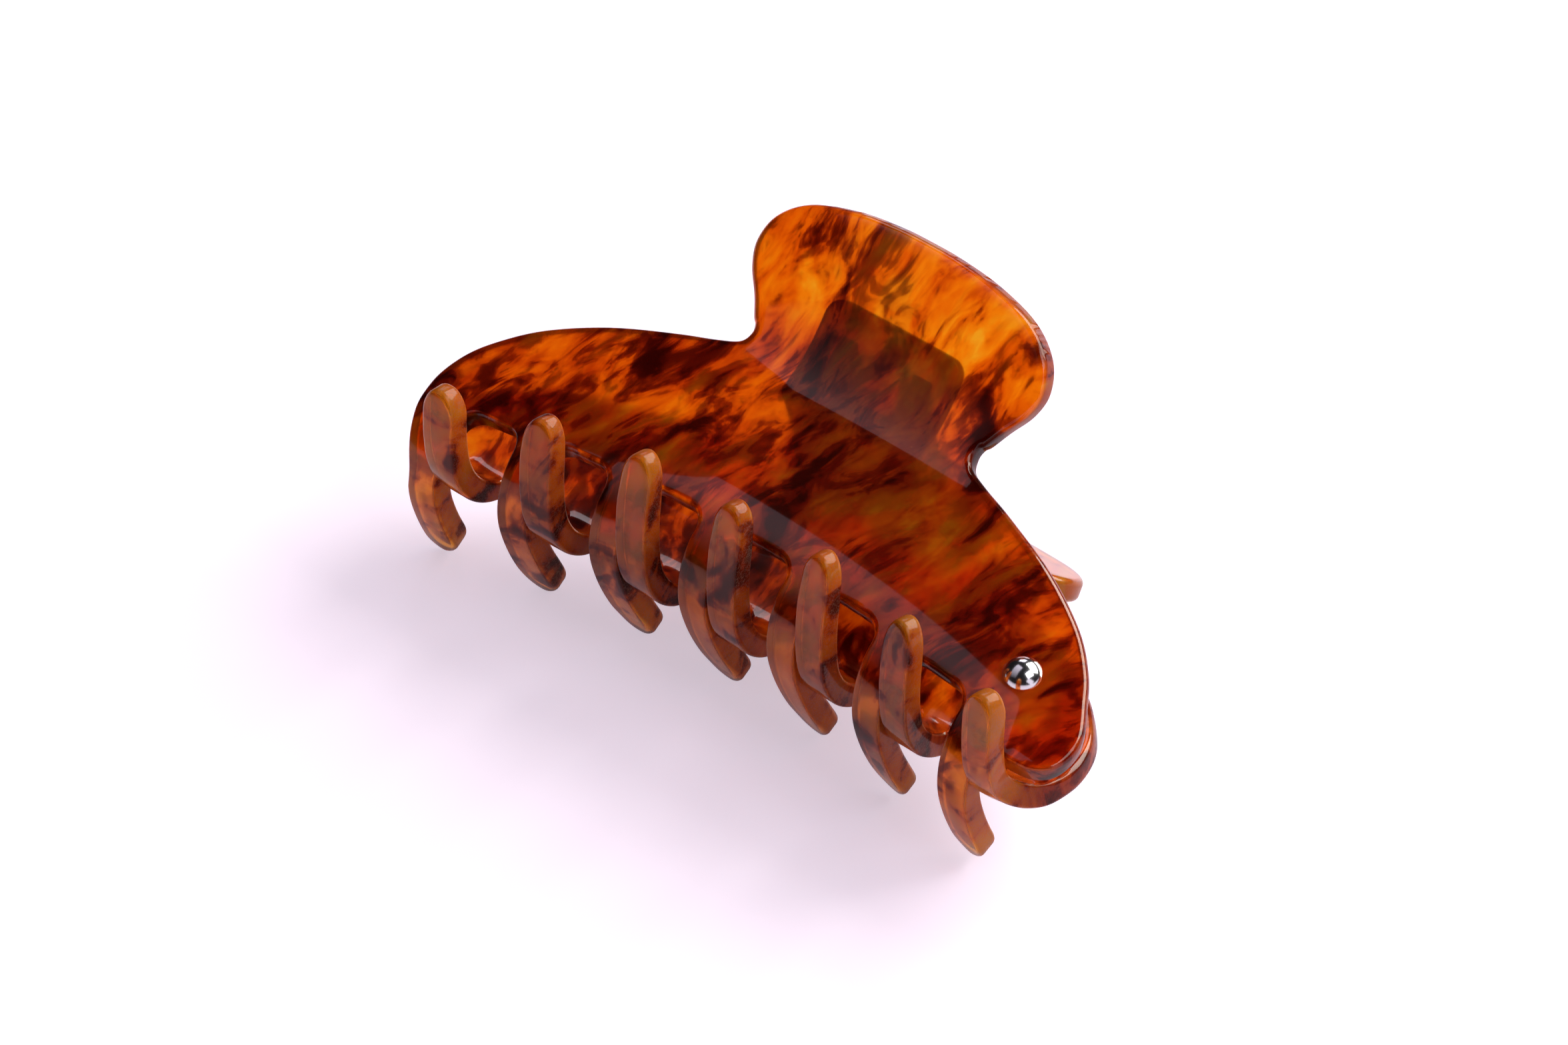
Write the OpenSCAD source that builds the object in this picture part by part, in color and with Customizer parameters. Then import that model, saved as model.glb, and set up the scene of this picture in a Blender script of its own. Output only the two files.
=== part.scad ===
// Large claw hair clip, lying closed on its back.
// Two alike jaws, cut from sheet and bent, share a hinge at the neck. One is
// the other turned half way round, so that the teeth pass between each other.
// The clip is drawn upright, with its length along X, the front jaw towards
// -Y and the handles up, and is laid down on its back at the end.

/* [Jaw sheet] */
// Thickness of the sheet
sheet = 3.4; // [3.2:0.1:3.6]
// Distance between the outer faces of the jaws at the neck
neck_depth = 27.4; // [27:0.2:28.4]
// Half of the width of the neck between its notches
neck_half = 19.3; // [18.4:0.1:20]
// Radius to which each jaw is bowed outwards along its length
bow = 267; // [240:1:320]

/* [Handles] */
// Angle between a handle and the middle plane
flare = 46; // [44:1:48]
// Length of a handle along its slope
handle_length = 21.4; // [21.2:0.2:23]
// Half of the width of a handle at its widest
handle_half = 24.7; // [24.2:0.1:26]

/* [Body] */
// Half of the overall length of the clip
half_length = 57.1; // [56.8:0.1:58]
// Depth of the rounded free end below the neck
lobe_drop = 32.6; // [32.4:0.1:32.8]

/* [Teeth] */
// Distance from tooth to tooth
pitch = 15.5; // [15.4:0.1:15.6]
// Width of a tooth
tooth_w = 5; // [4.6:0.1:5.2]
// Distance of the end tooth's middle from the middle of the clip
end_tooth = 49.2; // [49.1:0.1:49.8]
// Radius in the corners of the slots between teeth
slot_r = 2.8; // [1:0.1:3]

/* [Hinge] */
// Radius of the hinge pin
pin_r = 1; // [0.9:0.05:1.2]
// Height of the hinge axis above the neck line
pin_up = 2.4; // [2:0.1:3]
// Length of the hinge along the pin
hinge_w = 23; // [22.6:0.2:26]
// Width of one knuckle
knuckle_w = 3.3; // [2.8:0.1:3.4]
// Radius of a knuckle around the pin
knuckle_r = 2.6; // [2.2:0.1:2.8]
// Radial clearance of the turning knuckles on the pin
pin_gap = 0.05; // [0.02:0.01:0.1]
// Gap between two knuckles along the pin
knuckle_gap = 0.3; // [0.2:0.05:0.5]
// Thickness of a hinge block's base on the sheet
base_t = 2; // [1.6:0.1:2.2]

/* [Spring] */
// Radius of the spring wire
wire_r = 0.55; // [0.4:0.05:0.55]
// Number of full turns in the coil
turns = 5; // [3:1:5]

/* [Trim] */
// Radius of the domed stud
stud_r = 2.6; // [2:0.1:3]
// Height of the dome above the sheet
stud_h = 1.7; // [1.2:0.1:2]

/* [Hidden] */
$fn = 48;
teeth = 7;
neck_y = -neck_depth / 2;
bow_y = neck_y + bow;

// Slope of the sheet, measured from the middle plane, against the distance
// along the sheet below the neck line
bend = [[-2, flare], [2, 5], [24, 5], [28, 7], [31, 20], [34, 38],
        [40, 68], [46, 94], [52, 103], [58, 110], [68, 110]];
// Distances at which the facets of the plate meet, and those of a tooth
plate_stops = [-24, -9, -5, -3, -2, -1, 0, 1, 2, 4, 20];
tooth_stops = [27, 28, 29.5, 31, 32.5, 34, 35.5, 37, 38.5, 40, 41.5, 43, 44.5,
               46, 49, 52, 55, 58, 61, 64.5];
// How much sooner a tooth is bent, from an end tooth to the middle one
sooner = [1.1, 2.8, 4.2, 4.4];
// How much later the free end past the last tooth is bent
lobe_late = 7;
// Distances at which the tips round off, from an end tooth to the middle one
tip_start = [53.9, 56.3, 57.4, 57.4];
// Heights of the slot tops against the neck line, from the ends inwards
slot_top = [-28, -27, -26.2];
// Distance behind the middle plane from which only the teeth go on
tooth_from = 2;

// Right half of the handle, as [half width, distance up the slope]
handle_edge = [[20.2, 2], [21.7, 4.6], [23.9, 8], [handle_half, 11.6],
               [23.2, 15.6], [18.9, 18.8], [12, 20.6],
               [5, handle_length - 0.1], [0, handle_length]];
// Right half of the body from the neck to the widest place, as
// [half width, height against the neck line]
shoulder_edge = [[20.2, 2 * cos(flare)], [19.5, 0.7], [neck_half, -0.3],
                 [20.2, -1.6], [23.4, -2.7], [29, -4.3], [38.4, -7.7],
                 [46.4, -12], [51.2, -16.2], [54, -20]];
// The free end of the body, rounded back to the last tooth
lobe_edge = [[56.3, -23.6], [half_length, -26.6], [56.4, -29.8], [54.2, -31.9],
             [51, -lobe_drop], [43, -lobe_drop]];
// The other end of the body, running down into the end tooth
flush_edge = [[55.3, -24.6], [54.9, -28.6], [53.5, -32.6],
              [end_tooth + tooth_w / 2, -37]];

// Where the trim stud sits on the last flat
stud_at = [1.5, 21.8];

// Catmull-Rom curve through a list of points
function between(a, b, c, d, t) =
    0.5 * (2 * b + (c - a) * t + (2 * a - 5 * b + 4 * c - d) * t * t
           + (3 * b - a - 3 * c + d) * t * t * t);
function curve(pts, n = 5) =
    [for (i = [0 : len(pts) - 2]) for (k = [0 : n - 1])
         between(pts[max(i - 1, 0)], pts[i], pts[i + 1],
                 pts[min(i + 2, len(pts) - 1)], k / n),
     pts[len(pts) - 1]];
function flip(pts) = [for (i = [len(pts) - 1 : -1 : 0]) pts[i]];
function mirror_x(pts) = [for (p = pts) [-p[0], p[1]]];

// Outer face of the sheet in the middle of tooth k, walked down past the neck
// from stop to stop, as [y, z, slope, distance]
function down(a) = [sin(a), -cos(a)];
function inward(a) = [cos(a), sin(a)];
function early(k) = k == teeth ? -lobe_late : sooner[min(k, teeth - 1 - k)];
function slope(s, k) = s < 21 ? lookup(s, bend) : lookup(s + early(k), bend);
function stops(k) = concat(plate_stops, [for (s = tooth_stops) s - early(k)]);
function stride(a, b, k) = (b - a) * down(slope((a + b) / 2, k));
function walk(k) = let (c = stops(k))
    [for (i = 0, p = [neck_y, 0] + c[0] * down(flare); i < len(c);
          p = i < len(c) - 1 ? p + stride(c[i], c[i + 1], k) : p, i = i + 1)
        [p[0], p[1], slope(c[i], k), c[i]]];
// Any place on it, and one at a depth below it
function at(s, k = 3) = let (w = walk(k),
                             i = max([for (j = [0 : len(w) - 2]) w[j][3] <= s ? j : 0]),
                             q = [w[i][0], w[i][1]] + stride(w[i][3], s, k))
    [q[0], q[1], slope(s, k), s];
function point(w, depth = 0) = [w[0], w[1]] + depth * inward(w[2]);

// Cross-section of the sheet between two stops, from depth d0 to depth d1
module sheet_section(from, to, d0 = 0, d1 = sheet, k = 3) {
    part = [for (w = walk(k)) if (w[3] >= from && w[3] <= to) w];
    polygon(concat([for (w = part) point(w, d0)],
                   flip([for (w = part) point(w, d1)])));
}

// The bow is made in flats, one to a tooth, that meet between the teeth
flat_turn = pitch / bow * 180 / PI;
function turn(k) = tooth_x(k) / bow * 180 / PI;
module turned(k) {
    translate([0, bow_y, 0]) rotate([0, 0, turn(k)]) translate([0, -bow_y, 0]) children();
}
module flat(k, from = -pitch, to = pitch) {
    a0 = turn(k) - (k == 0 ? 3 : 0.5) * flat_turn;
    a1 = turn(k) + (k == teeth - 1 ? 3 : 0.5) * flat_turn;
    reach = bow + 60;
    intersection() {
        turned(k) along_x(from, to) children();
        translate([0, 0, -60]) linear_extrude(100)
            polygon([[0, bow_y], [0, bow_y] + reach * [sin(a0), -cos(a0)],
                     [0, bow_y] + reach * [sin(a1), -cos(a1)]]);
    }
}

// Stretches a cross-section drawn in [y, z] along X
module along_x(x0, x1) {
    translate([x0, 0, 0]) rotate([90, 0, 90]) linear_extrude(x1 - x0) children();
}

// Puts a drawing of the front view, [x, z], through the front of the clip,
// where the plate lies
module through_plate() {
    translate([0, tooth_from, 0]) rotate([90, 0, 0]) linear_extrude(40) children();
}

// Puts [x, distance up the slope] on the outer face of the front handle
module on_handle() {
    translate([0, neck_y, 0]) rotate([90 + flare, 0, 0]) children();
}

// Moves to a place on the outer face of the front jaw, with +Z outwards: on
// the flat of tooth k, as [distance along X, distance along the sheet]
module on_sheet(k, place) {
    w = at(place[1], k);
    turned(k) translate([place[0], w[0], w[1]]) rotate([90 + w[2], 0, 0]) children();
}

function tooth_x(k) = -end_tooth + k * pitch;
function tip(k) = at(tip_start[min(k, teeth - 1 - k)], k);

// Open slot between tooth k and the next one, with round upper corners
module slot(k) {
    x0 = tooth_x(k) + tooth_w / 2;
    x1 = tooth_x(k + 1) - tooth_w / 2;
    top = slot_top[min(k, teeth - 2 - k)];
    translate([x0, -60]) square([x1 - x0, top - slot_r + 60]);
    translate([x0 + slot_r, -60]) square([x1 - x0 - 2 * slot_r, top + 60]);
    for (x = [x0 + slot_r, x1 - slot_r])
        translate([x, top - slot_r]) circle(slot_r);
}

module body_outline() {
    right = concat(curve(shoulder_edge), curve(lobe_edge));
    left = concat(curve(shoulder_edge), curve(flush_edge));
    difference() {
        union() {
            polygon(concat(mirror_x(flip(left)), [[-20.2, 8], [20.2, 8]], right));
            for (k = [0 : teeth - 1])
                translate([tooth_x(k) - tooth_w / 2, -55]) square([tooth_w, 35]);
        }
        for (k = [0 : teeth - 2]) slot(k);
    }
}

// What lies past the round tip of tooth k
module past_tip(k) {
    w = tip(k);
    place = tooth_x(k) - (bow_y - w[0]) * sin(turn(k));
    turned(k) translate([place, w[0], w[1]]) rotate([w[2] - 90, 0, 0])
        difference() {
            translate([-tooth_w, 0, -4]) cube([2 * tooth_w, 14, 12]);
            translate([0, 0, -5]) cylinder(r = tooth_w / 2, h = 14);
        }
}

// Everything that the outline leaves of the bowed sheet, which is all but the
// free end of the body past the last tooth
lobe_from = tooth_x(teeth - 1) + tooth_w / 2;
module outline() {
    edge = curve(handle_edge);
    on_handle() translate([0, 0, -sheet - 4]) linear_extrude(sheet + 6)
        polygon(concat(edge, flip(mirror_x(edge))));
    through_plate() intersection() {
        body_outline();
        translate([lobe_from - 200, -100]) square(200);
    }
    for (k = [0 : teeth - 1])
        translate([tooth_x(k) - tooth_w / 2, tooth_from - 1, -55])
            cube([tooth_w, 40, 40]);
}

// The free end, which stays straight where the teeth bend
module lobe() {
    intersection() {
        flat(teeth - 1) sheet_section(-5, lobe_to, 0, sheet, teeth);
        through_plate() intersection() {
            body_outline();
            translate([lobe_from, -100]) square(200);
        }
    }
}
lobe_to = 31 + lobe_late;

module jaw() {
    difference() {
        intersection() {
            for (k = [0 : teeth - 1]) flat(k) sheet_section(-24, 66, 0, sheet, k);
            outline();
        }
        for (k = [0 : teeth - 1]) past_tip(k);
    }
    lobe();
}

// Hinge: a base on the inner face of each jaw, knuckles round the pin, and a
// lip below the pin that meets the other block when the clip is closed
lip_z = [pin_up - knuckle_r - 2.6, pin_up - knuckle_r - 0.8];
lip_gap = 0.1;
// Glue line between the base and the sheet
base_gap = 0.02;

module knuckle_section() {
    root = [for (w = walk(3)) if (w[3] >= -5 && w[3] <= 2) point(w, sheet + 1)];
    translate([0, pin_up]) circle(knuckle_r);
    polygon(concat([[0, pin_up + knuckle_r]], root, [[0, pin_up - knuckle_r]]));
}

// Block with knuckles from x0 to x0 + knuckle_w on both sides of the middle
module hinge_block(x0, bore_r) {
    difference() {
        union() {
            intersection() {
                for (k = [2 : 4]) flat(k) sheet_section(-9, 4, sheet + base_gap, sheet + base_t);
                translate([-hinge_w / 2, -50, -50]) cube([hinge_w, 100, 100]);
            }
            along_x(-hinge_w / 2, hinge_w / 2)
                polygon([[-lip_gap, lip_z[1]], point(at(1), sheet + 1),
                         point(at(4), sheet + 1), [-lip_gap, lip_z[0]]]);
            for (x = [x0, -x0 - knuckle_w]) along_x(x, x + knuckle_w) knuckle_section();
        }
        along_x(-hinge_w, hinge_w) translate([0, pin_up]) circle(bore_r);
    }
}

inner_x = hinge_w / 2 - 2 * knuckle_w - knuckle_gap;
outer_x = hinge_w / 2 - knuckle_w;

// Pin with a low domed head at each end
module pin() {
    half = hinge_w / 2 + 0.1;
    side = [[pin_r, 0], [pin_r, half], [pin_r + 0.7, half],
            [pin_r + 0.6, half + 0.4], [pin_r, half + 0.8], [0, half + 0.9]];
    translate([0, 0, pin_up]) rotate([0, 90, 0]) rotate_extrude()
        polygon(concat([[0, -half - 0.9]], [for (p = flip([for (i = [0 : 4]) side[i]])) [p[0], -p[1]]],
                       side));
}

// Spring: a round coil on the pin, with a straight leg to each handle
coil_r = pin_r + 0.35 + wire_r;
leg_up = 5;
leg_end = point([neck_y, 0, flare], sheet + base_t + wire_r + 0.03) - leg_up * down(flare)
          - [0, pin_up];
leg_angle = atan2(leg_end[1], leg_end[0]);
leg_swing = acos(coil_r / norm(leg_end));
coil_from = 180 - leg_angle - leg_swing;
coil_turn = 360 * (turns + 1) - (leg_angle + leg_swing - coil_from);
coil_steps = 15 * turns + 3;
coil_pitch = 2 * wire_r + 0.06;

// Centre line as [x, y, z, direction of the wire's outer side]
function on_coil(t) = let (a = coil_from - t * coil_turn)
    [(t - 0.5) * coil_pitch * coil_turn / 360,
     coil_r * cos(a), pin_up + coil_r * sin(a), a];
coil_half = coil_pitch * coil_turn / 720;
wire_path = concat(
    [[-coil_half, -leg_end[0], pin_up + leg_end[1], coil_from]],
    [for (i = [0 : coil_steps]) on_coil(i / coil_steps)],
    [[coil_half, leg_end[0], pin_up + leg_end[1], coil_from - coil_turn]]);

module swept_wire(path, r, sides) {
    rings = len(path);
    polyhedron(
        [for (p = path) for (j = [0 : sides - 1]) let (a = 360 * j / sides)
            [p[0] + r * cos(a), p[1] + r * sin(a) * cos(p[3]),
             p[2] + r * sin(a) * sin(p[3])]],
        concat([[for (j = [sides - 1 : -1 : 0]) j]],
               [for (i = [0 : rings - 2]) for (j = [0 : sides - 1])
                    let (k = (j + 1) % sides)
                    [i * sides + j, i * sides + k,
                     (i + 1) * sides + k, (i + 1) * sides + j]],
               [[for (j = [0 : sides - 1]) (rings - 1) * sides + j]]));
}

// Stud: a low dome on a short shank that is pushed into the sheet
shank_r = 0.8;
shank_depth = 2.2;
module stud() {
    ball = (stud_r * stud_r + stud_h * stud_h) / (2 * stud_h);
    span = asin(stud_r / ball);
    on_sheet(teeth - 1, stud_at) {
        rotate_extrude() polygon(concat([[0, 0]],
            [for (i = [0 : 10]) let (a = span * (1 - i / 10))
                [ball * sin(a), stud_h - ball + ball * cos(a)]]));
        translate([0, 0, -shank_depth]) cylinder(r = shank_r, h = shank_depth + 0.2);
    }
}

// Pose: on a tip of the front jaw and the end of the rear handle. spread gives
// how far back tooth k's place w lies at x.
rest_tooth = 2;
function spread(k, w, x) = bow_y + x * tan(turn(k)) + (w[0] - bow_y) / cos(turn(k));
tip_end = point(tip(rest_tooth))
          + tooth_w / 2 * down(slope(tip_start[rest_tooth], rest_tooth));
tip_low = [spread(rest_tooth, tip_end, tooth_x(rest_tooth)), tip_end[1]];
handle_end = [neck_y, 0] - handle_length * down(flare);
handle_back = handle_end + sheet * inward(flare);
lean = atan2(handle_end[1] - tip_low[1], -handle_end[0] - tip_low[0]);
function lying(p) = [cos(lean) * p[0] + sin(lean) * p[1],
                     cos(lean) * p[1] - sin(lean) * p[0]];
tooth_sides = [for (k = [0 : teeth - 1]) for (w = walk(k)) if (w[3] > 20 && w[3] < tip_start[0])
    for (side = [-1, 1]) [spread(k, w, tooth_x(k) + side * tooth_w / 2), w[1]]];
lie_y = [min([for (p = tooth_sides) lying([-p[0], p[1]])[0]]),
         lying([-handle_back[0], handle_back[1]])[0]];

module lay_down() {
    translate([0, -(lie_y[0] + lie_y[1]) / 2, -lying(tip_low)[1]])
        rotate([-lean, 0, 0]) children();
}
module turn_round() { rotate([0, 0, 180]) children(); }

module front_jaw() {
    color("chocolate") lay_down() difference() {
        jaw();
        on_sheet(teeth - 1, stud_at)
            translate([0, 0, -shank_depth]) cylinder(r = shank_r, h = shank_depth + 1);
    }
}
module rear_jaw() { color("sienna") lay_down() turn_round() jaw(); }
module front_hinge_block() {
    color("saddlebrown") lay_down() hinge_block(inner_x, pin_r + pin_gap);
}
module rear_hinge_block() {
    color("saddlebrown") lay_down() turn_round() hinge_block(outer_x, pin_r);
}
module hinge_pin() { color("silver") lay_down() pin(); }
module torsion_spring() { color("silver") lay_down() swept_wire(wire_path, wire_r, 8); }
module trim_stud() { color("gainsboro") lay_down() stud(); }

front_jaw();
rear_jaw();
front_hinge_block();
rear_hinge_block();
hinge_pin();
torsion_spring();
trim_stud();
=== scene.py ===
"""Claw hair clip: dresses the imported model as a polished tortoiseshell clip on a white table."""

import math

import bmesh
import bpy
import numpy as np
from mathutils import Matrix, Vector
from mathutils.geometry import delaunay_2d_cdt


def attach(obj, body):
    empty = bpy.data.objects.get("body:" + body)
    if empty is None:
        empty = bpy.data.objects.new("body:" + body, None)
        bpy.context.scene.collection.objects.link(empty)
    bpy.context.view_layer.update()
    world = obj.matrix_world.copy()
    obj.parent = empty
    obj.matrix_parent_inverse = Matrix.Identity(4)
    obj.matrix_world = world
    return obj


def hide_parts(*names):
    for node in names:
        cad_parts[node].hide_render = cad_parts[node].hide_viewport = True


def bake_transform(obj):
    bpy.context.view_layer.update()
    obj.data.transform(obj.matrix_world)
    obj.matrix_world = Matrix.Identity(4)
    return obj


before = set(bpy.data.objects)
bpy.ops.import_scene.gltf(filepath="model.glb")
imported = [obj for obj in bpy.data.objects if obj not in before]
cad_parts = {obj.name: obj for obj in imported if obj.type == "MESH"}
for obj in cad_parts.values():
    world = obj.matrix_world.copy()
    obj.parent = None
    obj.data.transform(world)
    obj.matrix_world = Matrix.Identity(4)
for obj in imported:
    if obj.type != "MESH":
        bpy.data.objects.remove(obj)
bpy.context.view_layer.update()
MM = 0.001

# ---------------------------------------------------------------- sizes
# The clip upright, in millimetres: length along X, front jaw towards -Y,
# handles up. Most values are those of the part's source. BEND, the ends of
# the outlines and the stud's place are not.

# Jaw sheet: thickness, outer face at the neck, radius of the bow along X
SHEET = 3.4
NECK_Y = -13.7
BOW = 267.0
BOW_Y = NECK_Y + BOW

# Handle, as [half width, distance up the slope]
FLARE = 46.0
HANDLE_LENGTH = 21.4
HANDLE_EDGE = [(20.2, 2), (21.7, 4.6), (23.9, 8), (24.7, 11.6), (23.2, 15.6),
               (18.9, 18.8), (12, 20.6), (5, 21.3), (0, HANDLE_LENGTH)]

# Body, as [half width, height against the neck line]: the shoulder, the free
# end on the right and the end on the left, which runs on into the first tooth
SHOULDER_EDGE = [(19.5, 0.7), (19.3, -0.3), (20.2, -1.6), (23.4, -2.7), (29, -4.3),
                 (38.4, -7.7), (46.4, -12), (51.2, -16.2), (54, -20)]
LOBE_EDGE = [(56.3, -23.6), (57.1, -26.6), (56.4, -29.8), (54.2, -31.9),
             (51, -32.6)]
LOBE_CORNER_R = 2.2
FLUSH_EDGE = [(55.3, -24.6), (54.9, -28.6), (53.5, -32.6)]
FLUSH_TOOTH = (38.5, 42)

# Slope of the sheet, in degrees, against the distance along it below the neck
# line, the half length over which its corners are eased, and the distance, Y
# and Z at which the curve is held
BEND = [(-24, FLARE), (-9, FLARE), (-6, 43.5), (-1.5, 36), (1, 24), (3.6, 6.5), (4.5, 5),
        (22, 5), (28, 8), (31, 20), (34, 38),
        (40, 68), (46, 94), (52, 103), (58, 110), (80, 110)]
BEND_EASE = 1.2
HELD_AT = 2
HELD_Y = NECK_Y + 0.25
HELD_Z = -2.15

# How much sooner a tooth is bent, from an end tooth to the middle one, how
# much later the free end is, and where along the sheet that sets in
SOONER = [1.1, 2.8, 4.2, 4.4]
LOBE_LATE = 7.0
LOBE_OVER = 4.0
SOONER_FROM = 19
SOONER_OVER = 4

# Teeth
TEETH = 7
PITCH = 15.5
TOOTH_W = 5.0
END_TOOTH = 49.2
SLOT_R = 2.8
SLOT_TOP = [-28, -27, -26.2]
TIP_START = [53.9, 56.3, 57.4, 57.4]
TIP_LONG = 4.0

# Radii of the rounded edges, and the distances over which they change
EDGE_R = 1.0
TOOTH_EDGE_R = 0.5
TIP_R = 1.0
EDGE_EASE = (31, 26)
TIP_EASE = (52, 57)

# Hinge blocks: the base reaches from one distance along the sheet to another
HINGE_W = 23.0
BASE_T = 2.0
BASE_FROM = -9.0
BASE_TO = 4.0
BASE_TOP_R = 2.4
BASE_LOW_R = 1.6
BASE_EDGE_R = 0.5
BASE_GAP = 0.02
KNUCKLE_W = 3.3
KNUCKLE_R = 2.6
KNUCKLE_GAP = 0.3
KNUCKLE_EDGE_R = 0.3
PIN_UP = 2.4
LIP_Y = -0.1
LIP_Z = (-1.0, -2.8)

# Spring
WIRE_R = 0.55
COIL_R = 1.9
COIL_HALF = 2.99645
COIL_FROM = math.radians(-60.067)
COIL_TURN = math.radians(1859.87)
LEG_END = (13.1426, 7.77494)

# Stud: place as [X, distance along the sheet], and how far its foot is sunk
STUD_AT = (44.9, 21.8)
STUD_R = 2.6
STUD_H = 1.7
STUD_FOOT = 0.3

# The clip lies on its back, turned about X and moved
LEAN = math.radians(77.5914)
LIE_Y = -7.68185
LIE_Z = -25.2199

# Spacing of the curve's table, of an outline's points and of a face's points
STEP = 0.25
OUTLINE_STEP = 0.7
FACE_STEP = 1.0

s_grid = np.arange(-24, 70 + STEP, STEP)
e_grid = np.linspace(-LOBE_LATE, 5, 49)


# ---------------------------------------------------------- bent sheet
def ease(value, start, end):
    """Smooth 0 to 1 as value goes from start to end."""
    t = np.clip((value - start) / (end - start), 0, 1)
    return t * t * (3 - 2 * t)


def base_slope(s):
    """Slope of the sheet in degrees, with its corners eased."""
    x, y = np.array(BEND, float).T
    offsets = np.linspace(-BEND_EASE, BEND_EASE, 9)
    return np.mean([np.interp(s + o, x, y) for o in offsets], axis=0)


def curve_tables():
    """Y, Z and slope of the outer face over (how soon the bend comes, distance)."""
    rows = []
    held = int(round((HELD_AT - s_grid[0]) / STEP))
    for e in e_grid:
        share = np.clip((s_grid - SOONER_FROM) / SOONER_OVER, 0, 1)
        a = np.radians(base_slope(s_grid + e * share))
        dy = np.sin(a) * STEP
        dz = -np.cos(a) * STEP
        y = np.concatenate([[0], np.cumsum((dy[1:] + dy[:-1]) / 2)])
        z = np.concatenate([[0], np.cumsum((dz[1:] + dz[:-1]) / 2)])
        rows.append((y - y[held] + HELD_Y, z - z[held] + HELD_Z, a))
    return np.array(rows)


tables = curve_tables()


def look_up(e, s):
    """Y, Z and slope at each e, s."""
    i = np.clip((e - e_grid[0]) / (e_grid[1] - e_grid[0]), 0, len(e_grid) - 1.001)
    j = np.clip((s - s_grid[0]) / STEP, 0, len(s_grid) - 1.001)
    i0, j0 = i.astype(int), j.astype(int)
    u, v = i - i0, j - j0
    out = []
    for k in range(3):
        t = tables[:, k, :]
        out.append((1 - u) * ((1 - v) * t[i0, j0] + v * t[i0, j0 + 1])
                   + u * ((1 - v) * t[i0 + 1, j0] + v * t[i0 + 1, j0 + 1]))
    return out


def tooth_x(k):
    """X of the middle of tooth k."""
    return -END_TOOTH + k * PITCH


def sooner(x):
    """How much sooner the sheet bends at x."""
    from_middle = np.abs(x - tooth_x(TEETH // 2))
    e = np.interp(from_middle, [0, PITCH, 2 * PITCH, 3 * PITCH], SOONER[::-1])
    lobe_from = tooth_x(TEETH - 1) + TOOTH_W / 2
    return e + ease(x, lobe_from, lobe_from + LOBE_OVER) * (-LOBE_LATE - e)


def on_sheet(x, s, depth):
    """Places at x, distance s along the sheet and a depth below its outer face."""
    y, z, a = look_up(sooner(x), s)
    r = BOW_Y - y
    turn = np.arcsin(x / r)
    p = np.stack([x, BOW_Y - r * np.cos(turn), z], axis=1)
    n = np.stack([-np.cos(a) * np.sin(turn), np.cos(a) * np.cos(turn), np.sin(a)], axis=1)
    return p + n * depth[:, None]


def on_sheet_at(x, s, depth):
    """One such place."""
    return on_sheet(*(np.array([float(v)]) for v in (x, s, depth)))[0]


def s_of(x, z):
    """Distance along the plate below the neck line at x and height z."""
    _, heights, _ = look_up(np.full(len(s_grid), sooner(float(x))), s_grid)
    last = int(np.argmin(heights))
    return float(np.interp(-z, -heights[:last], s_grid[:last]))


def lay(p, rear=False):
    """Lays upright places down on the table, in metres."""
    p = np.array(p, float)
    if rear:
        p = p * [-1, -1, 1]
    y = math.cos(LEAN) * p[:, 1] + math.sin(LEAN) * p[:, 2] - LIE_Y
    z = math.cos(LEAN) * p[:, 2] - math.sin(LEAN) * p[:, 1] - LIE_Z
    return np.stack([p[:, 0], y, z], axis=1) * MM


# ------------------------------------------------------------ outlines
def spline(pts, n=6):
    """Catmull-Rom curve through points, with n steps from one to the next."""
    p = np.array(pts, float)
    out = []
    for i in range(len(p) - 1):
        a, b = p[max(i - 1, 0)], p[i]
        c, d = p[i + 1], p[min(i + 2, len(p) - 1)]
        for k in range(n):
            t = k / n
            out.append(0.5 * (2 * b + (c - a) * t + (2 * a - 5 * b + 4 * c - d) * t * t
                              + (3 * b - a - 3 * c + d) * t ** 3))
    out.append(p[-1])
    return [tuple(q) for q in out]


def arc(cx, cy, r, a0, a1, n):
    """Places on a circle from angle a0 to a1, in degrees, in n steps."""
    return [(cx + r * math.cos(math.radians(a0 + (a1 - a0) * i / n)),
             cy + r * math.sin(math.radians(a0 + (a1 - a0) * i / n))) for i in range(n + 1)]


def resample(pts, step):
    """Closed polygon with points no further apart than step, and none doubled."""
    out = []
    n = len(pts)
    for i in range(n):
        a, b = np.array(pts[i]), np.array(pts[(i + 1) % n])
        length = float(np.linalg.norm(b - a))
        if length < 0.02:
            continue
        m = max(1, int(math.ceil(length / step)))
        out += [tuple(a + (b - a) * k / m) for k in range(m)]
    return np.array(out)


def tooth_tip(k):
    """The long round tip of tooth k."""
    tip = TIP_START[min(k, TEETH - 1 - k)]
    base = tip + TOOTH_W / 2 - TIP_LONG
    longer = TIP_LONG * 2 / TOOTH_W
    return [(x, base + (s - base) * longer)
            for x, s in arc(tooth_x(k), base, TOOTH_W / 2, 0, 180, 16)]


def slot_end(k):
    """The upper end of the slot to the left of tooth k, from right to left."""
    x = tooth_x(k)
    top = s_of(x, SLOT_TOP[min(k - 1, TEETH - 1 - k)]) + SLOT_R
    right, left = x - TOOTH_W / 2, x - PITCH + TOOTH_W / 2
    return (arc(right - SLOT_R, top, SLOT_R, 0, -90, 8)
            + arc(left + SLOT_R, top, SLOT_R, -90, -180, 8))


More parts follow.
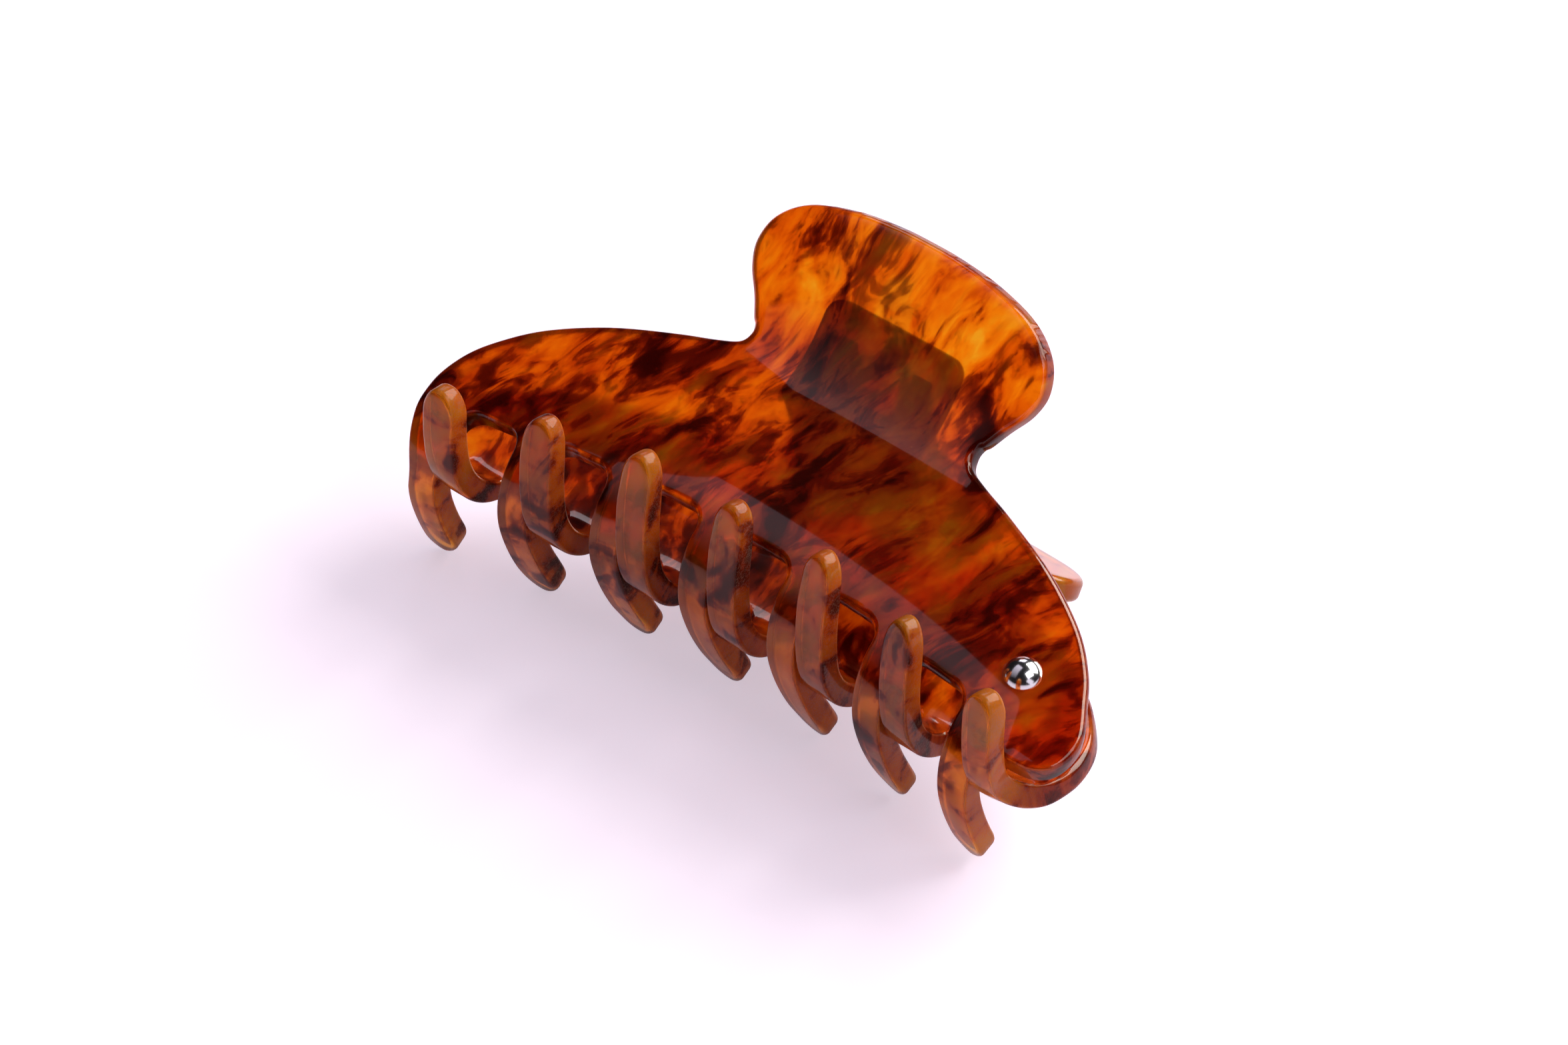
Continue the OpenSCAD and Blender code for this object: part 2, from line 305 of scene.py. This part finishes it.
def jaw_outline():
    """Outline of the flat sheet as [x, distance], clockwise from the handle's top."""
    upper = [(x, -h) for x, h in HANDLE_EDGE[::-1]]
    upper += [(x, s_of(x, z)) for x, z in SHOULDER_EDGE]
    pts = spline(upper + [(x, s_of(x, z)) for x, z in LOBE_EDGE])
    corner_x = tooth_x(TEETH - 1) + TOOTH_W / 2 + LOBE_CORNER_R
    pts += arc(corner_x, s_of(*LOBE_EDGE[-1]) + LOBE_CORNER_R, LOBE_CORNER_R, -90, -180, 6)
    for k in range(TEETH - 1, -1, -1):
        pts += tooth_tip(k)
        if k:
            pts += slot_end(k)
    left = upper + [(x, s_of(-x, z)) for x, z in FLUSH_EDGE]
    left += [(END_TOOTH + TOOTH_W / 2, s) for s in FLUSH_TOOTH]
    pts += [(-x, s) for x, s in spline(left)][::-1]
    return resample(pts, OUTLINE_STEP)


def rounded_box(x, s0, s1, r_top, r_low):
    """Outline from -x to x and from s0 to s1, with rounded corners."""
    pts = arc(x - r_top, s0 + r_top, r_top, -90, 0, 8)
    pts += arc(x - r_low, s1 - r_low, r_low, 0, 90, 8)
    pts += arc(-x + r_low, s1 - r_low, r_low, 90, 180, 8)
    pts += arc(-x + r_top, s0 + r_top, r_top, 180, 270, 8)
    return resample(pts, OUTLINE_STEP)


def inside(points, polygon):
    """Which points are in the polygon."""
    x, y = points[:, 0][:, None], points[:, 1][:, None]
    ax, ay = polygon[:, 0][None], polygon[:, 1][None]
    bx, by = np.roll(ax, -1, 1), np.roll(ay, -1, 1)
    with np.errstate(divide="ignore", invalid="ignore"):
        crosses = (ay > y) != (by > y)
        cut = x < (bx - ax) * (y - ay) / (by - ay) + ax
    return (crosses & cut).sum(1) % 2 == 1


def edge_radius(points):
    """Radius of the rounded edge: wide round the body, narrow on the teeth, wider at their tips."""
    s = points[:, 1]
    return (TOOTH_EDGE_R + (EDGE_R - TOOTH_EDGE_R) * ease(s, *EDGE_EASE)
            + (TIP_R - TOOTH_EDGE_R) * ease(s, *TIP_EASE))


# -------------------------------------------------------------- meshes
def add_mesh(name, points, faces):
    """A smooth closed mesh object with its faces turned outwards."""
    mesh = bpy.data.meshes.new(name)
    mesh.from_pydata([tuple(float(c) for c in p) for p in points], [],
                     [tuple(int(i) for i in f) for f in faces])
    mesh.validate()
    bm = bmesh.new()
    bm.from_mesh(mesh)
    bmesh.ops.recalc_face_normals(bm, faces=bm.faces)
    bm.to_mesh(mesh)
    bm.free()
    mesh.polygons.foreach_set("use_smooth", [True] * len(mesh.polygons))
    mesh.update()
    obj = bpy.data.objects.new(name, mesh)
    bpy.context.scene.collection.objects.link(obj)
    return obj


def edge_rings(line, r, half):
    """Rings inwards from the outline over an edge of radius r.

    Each has its places, its half thicknesses and 1 at the wall to 0 at the face.
    """
    along = np.roll(line, -1, 0) - np.roll(line, 1, 0)
    along /= np.linalg.norm(along, axis=1)[:, None]
    inward = np.stack([-along[:, 1], along[:, 0]], axis=1)
    if inside(line + inward * 0.05, line).mean() < 0.5:
        inward = -inward
    angles = np.radians(np.arange(0, 91, 15))
    return [(line + inward * (r * (1 - math.cos(a)))[:, None],
             half - r + r * math.sin(a),
             np.full(len(line), 1 - a / angles[-1])) for a in angles]


def face_places(line, r):
    """Staggered places all over the outline, clear of its rounded edge."""
    xs = np.arange(line[:, 0].min(), line[:, 0].max() + 1, FACE_STEP)
    ss = np.arange(line[:, 1].min(), line[:, 1].max() + 1, FACE_STEP)
    gx, gs = np.meshgrid(xs, ss)
    gx = gx + 0.5 * FACE_STEP * (np.arange(len(ss)) % 2)[:, None]
    grid = np.stack([gx.ravel(), gs.ravel()], axis=1)
    grid = grid[inside(grid, line)]
    gap = np.min(np.linalg.norm(grid[:, None, :] - line[None], axis=2) - r[None], axis=1)
    return grid[gap > 0.5 * FACE_STEP]


def sheet_piece(name, line, r, top, low, rear):
    """A piece with the outline line, from depth top to depth low, and edges of radius r.

    Its attributes are flat, the place in the flat sheet in centimetres, and
    wall, from 0 on its faces to 1 on its walls.
    """
    n = len(line)
    mid, thick = (top + low) / 2, (low - top) / 2
    rings = edge_rings(line, r, thick)
    edges = [(i * n + j, i * n + (j + 1) % n) for i in range(len(rings)) for j in range(n)]
    inner = face_places(line, r)
    rings.append((inner, np.full(len(inner), thick), np.zeros(len(inner))))
    places, halves, walls = (np.concatenate(part) for part in zip(*rings))
    made, _, faces, origins, _, _ = delaunay_2d_cdt([Vector(p) for p in places], edges, [], 0, 1e-6)
    made = np.array([tuple(v) for v in made])
    first = np.array([o[0] if len(o) else -1 for o in origins])
    half = np.where(first < 0, thick, halves[first])
    wall = np.where(first < 0, 0, walls[first])
    triangles = np.array([f for f in faces if len(f) == 3])
    triangles = triangles[inside(made[triangles].mean(1), line)]

    m = len(made)
    x, s = made[:, 0], made[:, 1]
    points = lay(np.concatenate([on_sheet(x, s, mid - half), on_sheet(x, s, mid + half)]), rear)
    rim = {int(o): i for i, o in enumerate(first) if 0 <= o < n}
    loop = [rim[j] for j in range(n) if j in rim]
    quads = [(a, b, b + m, a + m) for a, b in zip(loop, loop[1:] + loop[:1])]
    obj = add_mesh(name, points, [tuple(f) for f in triangles]
                   + [tuple(f[::-1] + m) for f in triangles] + quads)

    flat = np.concatenate([np.stack([x, s, mid - half], axis=1),
                           np.stack([x, s, mid + half], axis=1)]) / 10
    place = obj.data.attributes.new("flat", "FLOAT_VECTOR", "POINT")
    place.data.foreach_set("vector", flat.astype(np.float32).ravel())
    share = obj.data.attributes.new("wall", "FLOAT", "POINT")
    share.data.foreach_set("value", np.concatenate([wall, wall]).astype(np.float32))
    return obj


def bars(name, sections, rear):
    """Bars along X, each a section of [y, z] places between two X values."""
    points, faces = [], []
    for section, x0, x1 in sections:
        n, start = len(section), len(points)
        for x in (x0, x1):
            points += [(x, y, z) for y, z in section]
        faces.append(tuple(start + j for j in range(n)))
        faces.append(tuple(start + n + j for j in range(n)))
        faces += [(start + j, start + (j + 1) % n, start + n + (j + 1) % n, start + n + j)
                  for j in range(n)]
    obj = add_mesh(name, lay(points, rear), faces)
    bevel = obj.modifiers.new("rounded_edges", "BEVEL")
    bevel.width = KNUCKLE_EDGE_R * MM
    bevel.segments = 3
    bevel.limit_method = "ANGLE"
    bevel.angle_limit = math.radians(35)
    bevel.harden_normals = True
    return obj


def root(s):
    """Y and Z in the middle of the hinge base, at distance s."""
    p = on_sheet_at(0, s, SHEET + BASE_T / 2)
    return (p[1], p[2])


def hinge_pieces(name, x0, rear):
    """The base on the jaw's inner face, and the knuckles, from x0 outwards, with the lip under them."""
    line = rounded_box(HINGE_W / 2, BASE_FROM, BASE_TO, BASE_TOP_R, BASE_LOW_R)
    base = sheet_piece(name + "_base", line, np.full(len(line), BASE_EDGE_R),
                       SHEET + BASE_GAP, SHEET + BASE_T, rear)
    knuckle = arc(0, PIN_UP, KNUCKLE_R, -90, 90, 30) + [root(s) for s in range(-5, 3)]
    lip = [(LIP_Y, LIP_Z[0]), root(1), root(BASE_TO), (LIP_Y, LIP_Z[1])]
    sections = [(knuckle, x, x + KNUCKLE_W) for x in (x0, -x0 - KNUCKLE_W)]
    return [base, bars(name + "_knuckles", sections + [(lip, -HINGE_W / 2, HINGE_W / 2)], rear)]


def spring_path():
    """A leg, the coil round the pin and the other leg, each place with the way to its outer side."""
    def leg(y, z, coil_end):
        """Places halfway from the coil and at y, z."""
        x, y0, z0, a = coil_end
        return [(x, y0 + (y - y0) * t, z0 + (z - z0) * t, a) for t in (0.5, 1)]

    coil = []
    for t in np.linspace(0, 1, 181):
        a = COIL_FROM - t * COIL_TURN
        coil.append(((2 * t - 1) * COIL_HALF, COIL_R * math.cos(a), PIN_UP + COIL_R * math.sin(a), a))
    y, z = LEG_END
    return leg(y, z, coil[0])[::-1] + coil + leg(-y, z, coil[-1])


def wire(name, path, r, sides=12):
    """Round wire along upright places, each with the direction of its outer side."""
    points, faces = [], []
    for x, y, z, a in path:
        for j in range(sides):
            b = 2 * math.pi * j / sides
            points.append((x + r * math.cos(b), y + r * math.sin(b) * math.cos(a),
                           z + r * math.sin(b) * math.sin(a)))
    for i in range(len(path) - 1):
        for j in range(sides):
            k = (j + 1) % sides
            faces.append((i * sides + j, i * sides + k, (i + 1) * sides + k, (i + 1) * sides + j))
    faces.append(tuple(range(sides)))
    faces.append(tuple((len(path) - 1) * sides + j for j in range(sides)))
    return add_mesh(name, lay(points), faces)


def stud_mesh(name, x, s, r, height):
    """A low polished dome that stands on the front plate."""
    foot = on_sheet_at(x, s, STUD_FOOT)
    ahead = on_sheet_at(x, s, STUD_FOOT - 1) - foot
    side = np.cross(ahead, [1.0, 0, 0])
    side /= np.linalg.norm(side)
    other = np.cross(side, ahead)
    ball = (r * r + height * height) / (2 * height)
    span = math.asin(r / ball)
    top = STUD_FOOT + height
    rings = [(r - STUD_FOOT, 0.0), (r, STUD_FOOT)]
    rings += [(ball * math.sin(span * k / 16), top - ball + ball * math.cos(span * k / 16))
              for k in range(15, 0, -1)]
    around = 48
    points = [foot + ahead * h + (side * math.cos(2 * math.pi * j / around)
                                  + other * math.sin(2 * math.pi * j / around)) * q
              for q, h in rings for j in range(around)]
    points.append(foot + ahead * top)
    faces = [tuple(range(around))]
    for i in range(len(rings) - 1):
        faces += [(i * around + j, i * around + (j + 1) % around,
                   (i + 1) * around + (j + 1) % around, (i + 1) * around + j)
                  for j in range(around)]
    last = (len(rings) - 1) * around
    faces += [(last + j, last + (j + 1) % around, len(points) - 1) for j in range(around)]
    return add_mesh(name, lay(points), faces)


# ----------------------------------------------------------- materials
class Shader:
    """A material and short ways to add its nodes."""

    def __init__(self, name):
        self.material = bpy.data.materials.new(name)
        self.material.use_nodes = True
        self.tree = self.material.node_tree
        self.surface = self.tree.nodes["Principled BSDF"]

    def feed(self, n, inputs):
        """Sets a node's inputs to values, or links them to other nodes' outputs."""
        for key, value in inputs.items():
            if isinstance(value, bpy.types.NodeSocket):
                self.tree.links.new(value, n.inputs[key])
            else:
                n.inputs[key].default_value = value

    def dress(self, **inputs):
        """Feeds the surface, with _ for each space in an input's name."""
        self.feed(self.surface, {key.replace("_", " "): v for key, v in inputs.items()})

    def node(self, kind, inputs, **settings):
        n = self.tree.nodes.new(kind)
        for key, value in settings.items():
            setattr(n, key, value)
        self.feed(n, inputs)
        return n

    def math(self, how, first, second=0.0):
        return self.node("ShaderNodeMath", {0: first, 1: second}, operation=how).outputs[0]

    def times(self, first, second):
        return self.math("MULTIPLY", first, second)

    def plus(self, first, *others):
        for other in others:
            first = self.math("ADD", first, other)
        return first

    def minus(self, first, *others):
        for other in others:
            first = self.math("SUBTRACT", first, other)
        return first

    def spread(self, value, low, high, to_low=0.0, to_high=1.0):
        """Goes smoothly from to_low to to_high, as value goes from low to high."""
        return self.node("ShaderNodeMapRange", {0: value, 1: low, 2: high, 3: to_low, 4: to_high},
                         interpolation_type="SMOOTHSTEP").outputs[0]

    def noise(self, place, scale, detail, rough=0.5, distortion=0.0):
        return self.node("ShaderNodeTexNoise", {
            "Vector": place, "Scale": scale, "Detail": detail, "Roughness": rough,
            "Distortion": distortion}).outputs["Fac"]

    def streaks(self, place, turn, stretch, scale, detail, rough, distortion, shift):
        """Noise that is turned by degrees and stretched."""
        turned = self.node("ShaderNodeMapping", {
            "Vector": place, "Rotation": (0, 0, math.radians(turn)), "Location": shift})
        drawn = self.node("ShaderNodeVectorMath", {0: turned.outputs[0], 1: stretch},
                          operation="MULTIPLY")
        return self.noise(drawn.outputs[0], scale, detail, rough, distortion)

    def ramp(self, value, stops):
        """Colours between stops, each a position and a colour."""
        n = self.node("ShaderNodeValToRGB", {0: value})
        n.color_ramp.interpolation = "EASE"
        while len(n.color_ramp.elements) < len(stops):
            n.color_ramp.elements.new(0.5)
        for element, (position, colour) in zip(n.color_ramp.elements, stops):
            element.position = position
            element.color = (*colour, 1)
        return n.outputs[0]

    def blend(self, how, share, first, second):
        return self.node("ShaderNodeMix", {0: share, 6: first, 7: second},
                         data_type="RGBA", blend_type=how).outputs[2]

    def bump(self, height, distance, strength):
        n = self.node("ShaderNodeBump", {"Height": height, "Distance": distance,
                                         "Strength": strength})
        self.dress(Normal=n.outputs[0])


def tortoiseshell(name, seed, paler):
    """Cloudy amber sheet with feathered dark streaks, laid out over the flat sheet.

    seed shifts the pattern, and paler is how much the teeth are lightened.
    """
    sh = Shader(name)
    flat = sh.node("ShaderNodeAttribute", {}, attribute_name="flat").outputs["Vector"]
    wall = sh.node("ShaderNodeAttribute", {}, attribute_name="wall").outputs["Fac"]
    split = sh.node("ShaderNodeSeparateXYZ", {0: flat})
    across, along = split.outputs[0], split.outputs[1]

    # Places, each from 0 to 1
    on_handle = sh.spread(along, -0.9, 0.3, 1.0, 0.0)
    on_teeth = sh.spread(along, 2.9, 3.7)
    at_tip = sh.spread(along, 4.9, 5.8)
    at_end = sh.times(on_teeth, sh.spread(sh.math("ABSOLUTE", across), 3.9, 4.7))
    on_wall = sh.spread(wall, 0.5, 1.0)

    # Darkness: broad patches on the body, bands on the teeth, feathers on both
    patch = sh.streaks(flat, -12, (1.0, 0.55, 0.8), 0.95, 3, 0.5, 1.0, (seed + 5, 7.7, 2))
    band = sh.streaks(flat, 12, (0.85, 1.0, 0.8), 1.15, 3, 0.5, 1.2, (seed + 13, 2.2, 6))
    feather = sh.streaks(flat, -18, (1.25, 0.5, 0.8), 2.1, 5, 0.53, 1.4, (seed + 9, 1.3, 4))
    tone = sh.plus(sh.times(patch, sh.spread(on_teeth, 0, 1, 0.54, 0)),
                   sh.times(band, sh.spread(on_teeth, 0, 1, 0, 0.68)),
                   sh.times(feather, sh.spread(on_teeth, 0, 1, 0.46, 0.32)))
    # Fewer dark patches on the handle: painted glow, standing in for the light that shines through it
    # from behind
    tone = sh.minus(tone, sh.times(on_handle, 0.045), sh.times(on_teeth, paler),
                    sh.times(at_end, 0.04 + paler),
                    sh.times(at_tip, sh.spread(at_end, 0, 1, 0.06, 0.14)))
    dark = sh.spread(tone, 0.43, 0.60)

    # Colour of the clear amber, and of the dark streaks over it
    cloud = sh.streaks(flat, -14, (1.0, 0.62, 0.8), 1.1, 3, 0.5, 0.9, (seed, 3.1, 0))
    # The handle's extra gold is painted glow of the light that shines through it from behind
    amber = sh.plus(sh.spread(cloud, 0.36, 0.64, 0.0, 0.4), sh.spread(tone, 0.34, 0.47, 0.42, 0.0),
                    sh.times(on_handle, 0.36), sh.times(at_tip, 0.4), sh.times(at_end, 0.4))
    light = sh.ramp(amber, [(0.0, (0.64, 0.058, 0.0003)), (0.4, (0.86, 0.13, 0.0004)),
                            (0.75, (1.0, 0.25, 0.002)), (1.0, (1.0, 0.42, 0.012))])
    light = sh.blend("MIX", sh.times(on_teeth, 0.45), light, (1.0, 0.31, 0.02, 1))
    deep = sh.ramp(dark, [(0.0, (1, 1, 1)), (0.3, (0.74, 0.5, 0.3)),
                          (0.62, (0.25, 0.07, 0.03)), (1.0, (0.055, 0.007, 0.003))])
    colour = sh.blend("MULTIPLY", 1.0, light, deep)

    # Cut walls are duller, and those of the teeth are frosted in spots
    colour = sh.blend("MULTIPLY", on_wall, colour, (0.62, 0.47, 0.40, 1))
    specks = sh.spread(sh.noise(flat, 38, 4, 0.7), 0.45, 0.7, 0.0, 0.3)
    frost = sh.times(sh.times(on_wall, on_teeth), specks)
    colour = sh.blend("MIX", frost, colour, (0.42, 0.24, 0.18, 1))
    grit = sh.noise(flat, 45, 3)
    sh.bump(sh.times(grit, wall), 0.00008, 0.5)

    clear = sh.times(sh.spread(dark, 0.1, 0.9, 0.78, 0.42), sh.spread(wall, 0.55, 1.0, 1.0, 0.8))
    clear = sh.plus(clear, sh.times(on_handle, 0.06))
    sh.dress(
        Base_Color=colour,
        Transmission_Weight=sh.times(clear, sh.spread(on_teeth, 0, 1, 1.0, 0.95)),
        Roughness=sh.spread(wall, 0.15, 0.9, 0.17, 0.45),
        IOR=1.45,
        Specular_IOR_Level=0.0,
        Specular_Tint=(1, 0.45, 0.15, 1),
        Coat_Weight=sh.times(sh.spread(wall, 0.3, 0.9, 1.0, 0.6),
                             sh.spread(along, 2.9, 3.5, 1.0, 0.65)),
        Coat_Roughness=0.035,
        Coat_IOR=1.42)
    return sh.material


def plain(name, colour, rough, metallic=0.0, grain=300.0, grain_depth=0.00002, vary=0.25,
          shine=0.5, clear=0.0):
    """A plain surface with slight mottling and a fine grain."""
    sh = Shader(name)
    place = sh.node("ShaderNodeTexCoord", {}).outputs["Object"]
    mottle = sh.noise(place, grain, 5)
    low = tuple(c * (1 - vary) for c in colour)
    high = tuple(min(1, c * (1 + vary)) for c in colour)
    sh.bump(mottle, grain_depth, 0.4)
    sh.dress(Base_Color=sh.ramp(mottle, [(0.3, low), (0.7, high)]), Roughness=rough,
             Metallic=metallic, Specular_IOR_Level=shine, Transmission_Weight=clear)
    return sh.material


def white_table():
    """Pale floor that glows a little for the camera, so that it shows as a white ground."""
    sh = Shader("table_white")
    path = sh.node("ShaderNodeLightPath", {})
    seen = sh.math("MAXIMUM", path.outputs["Is Camera Ray"],
                   sh.times(path.outputs["Is Glossy Ray"], 0.3))
    seen = sh.math("MAXIMUM", seen, sh.times(path.outputs["Is Transmission Ray"], 0.8))
    sh.dress(Base_Color=(0.66, 0.58, 0.68, 1), Roughness=0.9, Specular_IOR_Level=0.0,
             Emission_Color=(0.97, 0.88, 1.0, 1), Emission_Strength=sh.times(seen, 0.56))
    return sh.material


# ---------------------------------------------------------------- parts
def dress_node(piece, surface, replaced, body=None):
    """Gives a piece its material and its body, and hides the CAD node that it replaces."""
    piece.data.materials.append(surface)
    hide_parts(replaced)
    if body:
        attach(piece, body)


shell = {"front": tortoiseshell("tortoiseshell_front", 66.2, 0.028),
         "rear": tortoiseshell("tortoiseshell_rear", 47.5, 0.016)}
hinge_plastic = plain("hinge_plastic", (0.3, 0.11, 0.045), 0.35, grain=260, vary=0.7,
                      shine=0.2, clear=0.75)
steel = plain("steel_wire", (0.62, 0.62, 0.64), 0.28, metallic=1.0, grain=2500, vary=0.1)
chrome = plain("bright_metal", (0.83, 0.83, 0.85), 0.16, metallic=1.0, grain=400,
               grain_depth=0.000004, vary=0.04)

rear_knuckle_x = HINGE_W / 2 - KNUCKLE_W
knuckle_x = {"front": rear_knuckle_x - KNUCKLE_GAP - KNUCKLE_W, "rear": rear_knuckle_x}
jaw_line = jaw_outline()
for half in ("front", "rear"):
    rear = half == "rear"
    jaw = sheet_piece(half + "_jaw_sheet", jaw_line, edge_radius(jaw_line), 0, SHEET, rear)
    dress_node(jaw, shell[half], half + "_jaw", half + "_half")
    for piece in hinge_pieces(half + "_hinge", knuckle_x[half], rear):
        dress_node(piece, hinge_plastic, half + "_hinge_block", half + "_half")

spring = wire("spring_wire", spring_path(), WIRE_R)
dress_node(spring, steel, "torsion_spring")
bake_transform(spring)

stud = stud_mesh("domed_stud", *STUD_AT, STUD_R, STUD_H)
dress_node(stud, chrome, "trim_stud", "front_half")

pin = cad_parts["hinge_pin"]
pin.data.materials.clear()
pin.data.materials.append(steel)

# ------------------------------------------------------ table and lights
TABLE_HALF = 3.0
LAMP_AIM = Vector((0, 0, 0.025))

corners = [(-TABLE_HALF, -TABLE_HALF, 0), (TABLE_HALF, -TABLE_HALF, 0),
           (TABLE_HALF, TABLE_HALF, 0), (-TABLE_HALF, TABLE_HALF, 0)]
table_mesh = bpy.data.meshes.new("table")
table_mesh.from_pydata(corners, [], [(0, 1, 2, 3)])
table_mesh.materials.append(white_table())
table = bpy.data.objects.new("table", table_mesh)
bpy.context.scene.collection.objects.link(table)

world = bpy.data.worlds.new("studio")
bpy.context.scene.world = world
world.use_nodes = True
background = world.node_tree.nodes["Background"]
background.inputs["Color"].default_value = (0.9, 0.8, 0.9, 1)
background.inputs["Strength"].default_value = 0.01


def placed(obj, right, up, back, place):
    """Links an object that looks along -back from a place."""
    bpy.context.scene.collection.objects.link(obj)
    obj.matrix_world = Matrix([(right[i], up[i], back[i], place[i]) for i in range(3)]
                              + [(0, 0, 0, 1)])


def fade_low(lamp, least):
    """Fades a lamp from full at its upper side to a share at its lower side."""
    lamp.use_nodes = True
    tree = lamp.node_tree
    geometry = tree.nodes.new("ShaderNodeNewGeometry")
    split = tree.nodes.new("ShaderNodeSeparateXYZ")
    tree.links.new(geometry.outputs["Parametric"], split.inputs[0])
    grow = tree.nodes.new("ShaderNodeMapRange")
    tree.links.new(split.outputs[1], grow.inputs[0])
    grow.inputs[2].default_value = least
    tree.links.new(grow.outputs[0], tree.nodes["Emission"].inputs["Strength"])


def softbox(name, direction, distance, width, height, radiance, colour, fade=0.0):
    """An area lamp that faces the clip, its sides along X; its lower side may fade out."""
    lamp = bpy.data.lights.new(name, "AREA")
    lamp.shape = "RECTANGLE"
    lamp.size, lamp.size_y = width, height
    lamp.energy = radiance * width * height * math.pi
    lamp.color = colour
    if fade:
        fade_low(lamp, fade)
    z = Vector(direction).normalized()
    x = (Vector((1, 0, 0)) - z * z.x).normalized()
    placed(bpy.data.objects.new(name, lamp), x, z.cross(x), z, LAMP_AIM + z * distance)


softbox("front_box", (-0.38, -0.49, 0.78), 1.5, 1.0, 2.0, 0.78, (0.95, 0.85, 1.0), fade=0.9)
softbox("back_box", (0.35, 0.80, 0.75), 1.4, 1.2, 0.9, 8.0, (1, 0.99, 0.93))
softbox("top_box", (0.75, 0.05, 0.8), 1.4, 0.7, 0.9, 3.5, (1, 0.96, 0.98))
softbox("rim_box", (-0.5, 0.62, 0.6), 1.4, 0.5, 0.45, 2.5, (0.96, 0.9, 1))
softbox("side_box", (1.0, -0.2, 0.25), 1.3, 0.8, 0.5, 1.0, (0.95, 0.87, 1))

# --------------------------------------------------------------- camera
AZIMUTH = math.radians(39.9026)
ELEVATION = math.radians(38.7226)
ROLL = math.radians(1.9232)
DISTANCE = 1.06007
SENSOR = 36.0
LENS = 183.673
# How far the upright clip's origin lies to the right of the picture's middle and above it, in mm
AIM_RIGHT = 11.681
AIM_UP = 8.233

back = Vector((math.sin(AZIMUTH) * math.cos(ELEVATION),
               -math.cos(AZIMUTH) * math.cos(ELEVATION), math.sin(ELEVATION)))
level = Vector((math.cos(AZIMUTH), math.sin(AZIMUTH), 0))
upright = back.cross(level)
right = level * math.cos(ROLL) + upright * math.sin(ROLL)
up = upright * math.cos(ROLL) - level * math.sin(ROLL)
aim = (Vector((0, -LIE_Y, -LIE_Z)) - right * AIM_RIGHT - up * AIM_UP) * MM
optics = bpy.data.cameras.new("camera")
optics.sensor_width = SENSOR
optics.lens = LENS
optics.clip_start = 0.01
camera = bpy.data.objects.new("camera", optics)
placed(camera, right, up, back, aim + back * DISTANCE)
bpy.context.scene.camera = camera
bpy.context.scene.view_settings.view_transform = "Standard"
